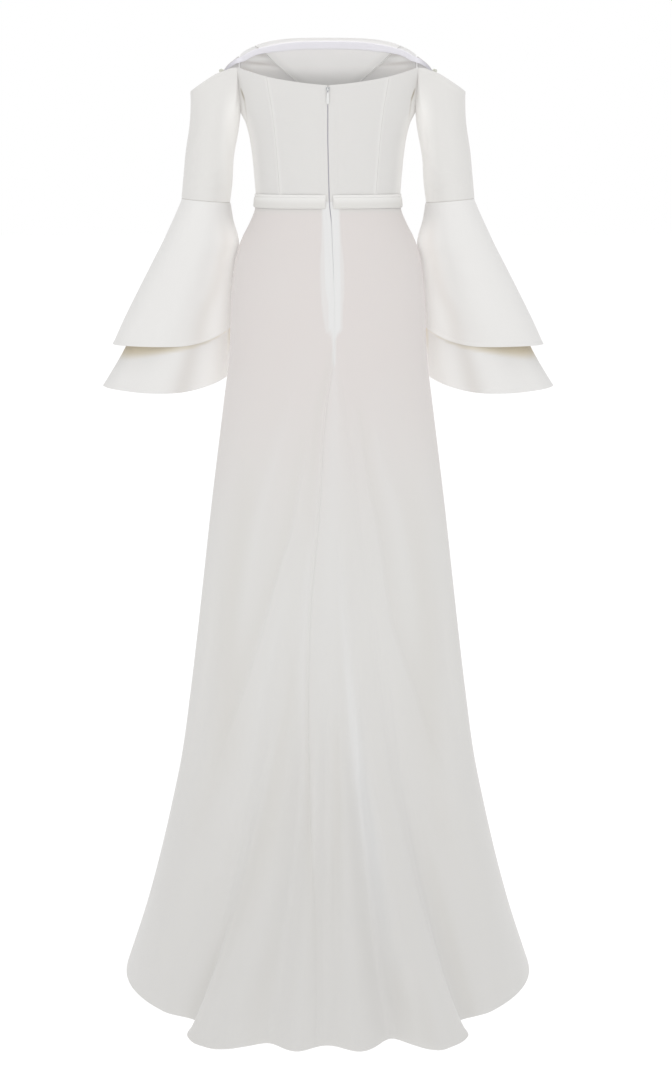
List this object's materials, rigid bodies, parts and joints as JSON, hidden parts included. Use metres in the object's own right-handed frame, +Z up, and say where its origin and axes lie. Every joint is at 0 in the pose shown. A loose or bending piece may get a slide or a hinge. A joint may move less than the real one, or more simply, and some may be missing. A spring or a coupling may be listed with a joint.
{
  "type": "evening gown",
  "caption": "Long off-the-shoulder evening gown with a fitted bodice, tiered bell sleeves, a narrow waist belt, a back zip and a trumpet skirt with a small train.",
  "frame": {"origin": "middle of the waist, inside the belt, where a wearer's waist holds the gown up", "axes": "+Z up, +X the wearer's left, +Y the back of the gown, with the zip and the train"},
  "size_m": [0.7736, 0.9596, 1.5141],
  "materials": {
    "bodice_crepe": "matt, fine crepe with a soft nap",
    "skirt_crepe": "matt, fine thin crepe",
    "satin_tape": "smooth woven tape",
    "zip_lacquer": "white lacquer",
    "pearl": "pearly gloss"
  },
  "bodies": {
    "gown": {"bodice_back_centre_left": "bodice_crepe", "bodice_back_centre_right": "bodice_crepe", "bodice_back_side_left": "bodice_crepe", "bodice_back_side_right": "bodice_crepe", "bodice_front_centre": "bodice_crepe", "bodice_front_side_left": "bodice_crepe", "bodice_front_side_right": "bodice_crepe", "neckline_tape": "satin_tape", "shoulder_button_left": "pearl", "shoulder_button_right": "pearl", "skirt_back_left": "skirt_crepe", "skirt_back_right": "skirt_crepe", "skirt_front": "skirt_crepe", "sleeve_flounce_lower_left": "bodice_crepe", "sleeve_flounce_lower_right": "bodice_crepe", "sleeve_flounce_upper_left": "bodice_crepe", "sleeve_flounce_upper_right": "bodice_crepe", "sleeve_left": "bodice_crepe", "sleeve_right": "bodice_crepe", "waist_belt": "bodice_crepe", "zip_slider": "zip_lacquer", "zip_tape": "satin_tape"},
    "pull_tab": {"zip_pull": "zip_lacquer"}
  },
  "joints": [
    {"name": "pull_tab_hinge", "type": "hinge", "parent": "gown", "child": "pull_tab", "pos_m": [0, 0.10303, 0.1828], "axis": [1, 0, 0], "range_deg": [0, 150]}
  ]
}
